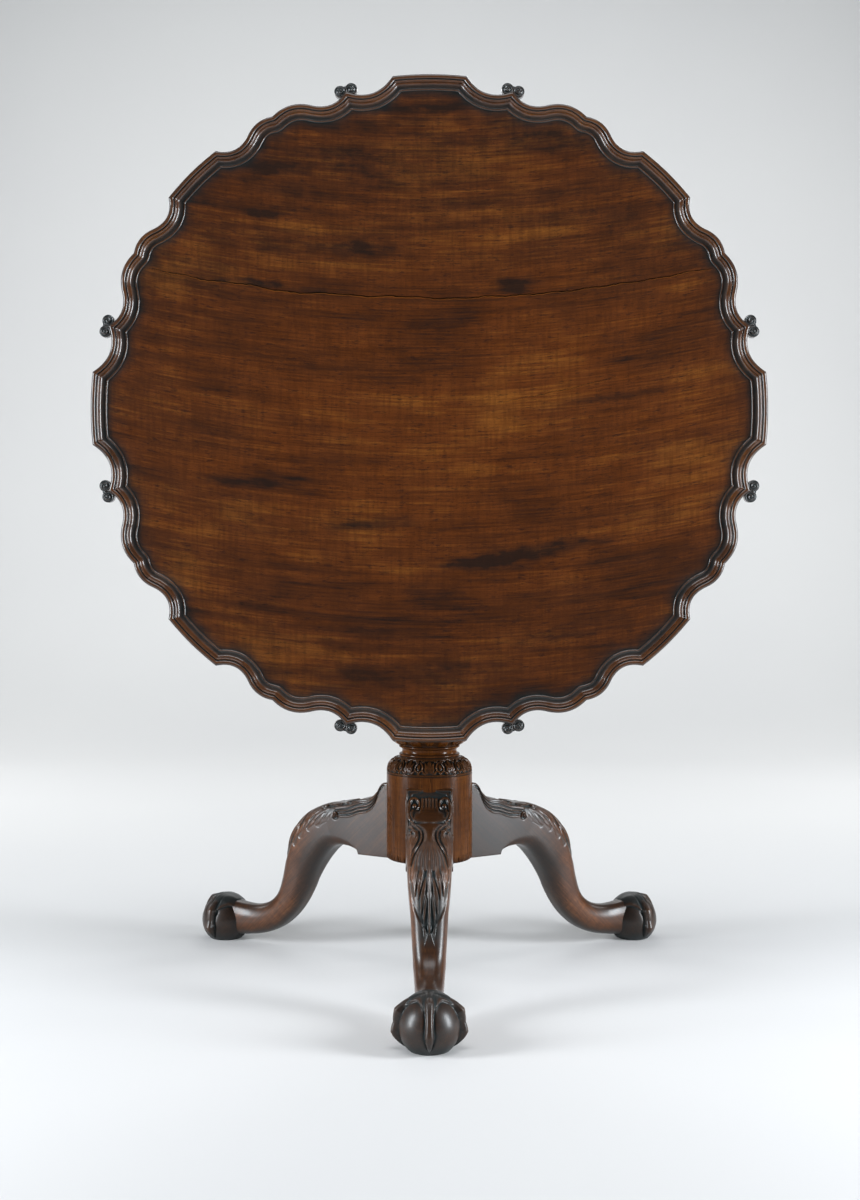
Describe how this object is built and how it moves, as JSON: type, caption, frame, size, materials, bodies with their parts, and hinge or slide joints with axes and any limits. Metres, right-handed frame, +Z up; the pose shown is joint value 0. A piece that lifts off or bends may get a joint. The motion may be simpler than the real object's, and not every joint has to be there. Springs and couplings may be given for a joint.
{
  "type": "tilt top table",
  "caption": "Tilt-top tea table: round scalloped tray top with a moulded rim, turning birdcage, turned pillar and cabriole legs with ball-and-claw feet.",
  "frame": {"origin": "middle of the table's outline on the floor, with the top upright", "axes": "+Z up; the upright top faces -Y; +X to the viewer's right; the pillar axis is 0.0916 m behind the origin"},
  "size_m": [0.9, 0.6266, 1.2221],
  "materials": {
    "mahogany_top": "aged satin polish",
    "mahogany_frame": "dull, unpolished underside",
    "mahogany_base": "aged satin polish",
    "key_wood": "plain",
    "brass": "dull, tarnished",
    "iron": "forged, blackened",
    "spring_steel": "satin"
  },
  "bodies": {
    "base": {"pillar": "mahogany_base", "front_leg": "mahogany_base", "left_leg": "mahogany_base", "right_leg": "mahogany_base", "iron_brace": "iron", "brace_nails": "iron", "collar_ring": "mahogany_frame"},
    "cage": {"cage_upper_plate": "mahogany_frame", "cage_lower_plate": "mahogany_frame", "colonnette_front_left": "mahogany_frame", "colonnette_front_right": "mahogany_frame", "colonnette_rear_left": "mahogany_frame", "colonnette_rear_right": "mahogany_frame", "tenon_wedges": "key_wood", "strike_plate": "brass", "strike_screws": "brass"},
    "top": {"top_board": "mahogany_top", "left_batten": "mahogany_frame", "right_batten": "mahogany_frame", "batten_screws": "iron", "latch_plate": "brass", "latch_case": "brass", "latch_spring": "spring_steel", "latch_screws": "brass"},
    "bolt": {"latch_bolt": "brass", "latch_knob": "brass"},
    "key": {"cage_key": "key_wood"}
  },
  "joints": [
    {"name": "cage_turn", "type": "hinge", "parent": "base", "child": "cage", "pos_m": [0, 0.09164, 0.58], "axis": [0, 0, 1], "continuous": true},
    {"name": "top_tilt", "type": "hinge", "parent": "cage", "child": "top", "pos_m": [0, -0.00836, 0.678], "axis": [-1, 0, 0], "range_deg": [0, 90]},
    {"name": "bolt_slide", "type": "slide", "parent": "top", "child": "bolt", "axis": [0, 0, 1], "range_m": [0, 0.009], "stiffness_N_per_m": 250, "springref_m": -0.008, "deforming": ["latch_spring"]},
    {"name": "key_slide", "type": "slide", "parent": "base", "child": "key", "axis": [1, 0, 0], "range_m": [0, 0.064]}
  ]
}
